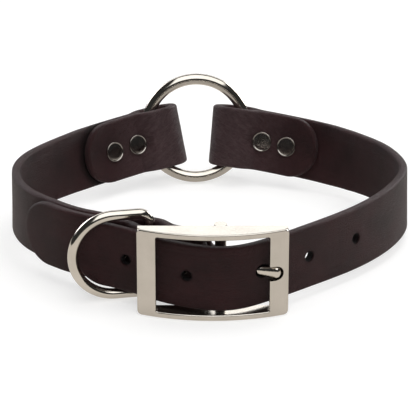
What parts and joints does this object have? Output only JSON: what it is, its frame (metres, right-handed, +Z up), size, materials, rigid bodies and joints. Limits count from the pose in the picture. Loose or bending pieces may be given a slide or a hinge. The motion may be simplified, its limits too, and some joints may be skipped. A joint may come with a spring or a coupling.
{
  "type": "leather dog collar",
  "caption": "Flat leather dog collar: two straps joined by a round ring, curved centre-bar buckle, punched adjustment holes, riveted folds and a D-ring for the leash.",
  "frame": {"origin": "bottom centre of the bounding box; the collar stands on the lower edge of the buckle frame and the bottom of the joining ring", "axes": "+Z up along the strap width, -Y towards the buckle, +Y towards the joining ring, +X towards the billet strap's side bend"},
  "size_m": [0.1586, 0.1536, 0.0464],
  "materials": {
    "leather": "satin",
    "nickel": "polished"
  },
  "bodies": {
    "collar": {"billet_strap": "leather", "buckle_rivet_1_cap": "nickel", "buckle_rivet_1_post": "nickel", "buckle_rivet_2_cap": "nickel", "buckle_rivet_2_post": "nickel", "buckle_rivet_3_cap": "nickel", "buckle_rivet_3_post": "nickel", "buckle_strap": "leather", "ring_rivet_left_1_cap": "nickel", "ring_rivet_left_1_post": "nickel", "ring_rivet_left_2_cap": "nickel", "ring_rivet_left_2_post": "nickel", "ring_rivet_right_1_cap": "nickel", "ring_rivet_right_1_post": "nickel", "ring_rivet_right_2_cap": "nickel", "ring_rivet_right_2_post": "nickel"},
    "back_ring": {"joining_ring": "nickel"},
    "leash_ring": {"d_ring": "nickel"},
    "buckle": {"buckle_frame": "nickel"},
    "tongue": {"buckle_tongue": "nickel"}
  },
  "joints": [
    {"name": "ring_spin", "type": "hinge", "parent": "collar", "child": "back_ring", "pos_m": [-0.00619, 0.06447, 0.02325], "axis": [-0.0687, 0.9824, -0.1736], "continuous": true},
    {"name": "d_ring_swing", "type": "hinge", "parent": "collar", "child": "leash_ring", "pos_m": [-0.02275, -0.05485, 0.0183], "axis": [0, 0, 1], "range_deg": [0, 50]},
    {"name": "buckle_pivot", "type": "hinge", "parent": "collar", "child": "buckle", "pos_m": [0.00371, -0.06573, 0.0174], "axis": [0, 0, 1], "range_deg": [-1.5, 1.5]},
    {"name": "tongue_pivot", "type": "hinge", "parent": "buckle", "child": "tongue", "pos_m": [0.00371, -0.06573, 0.0174], "axis": [0, 0, -1], "range_deg": [0, 2.5]}
  ]
}
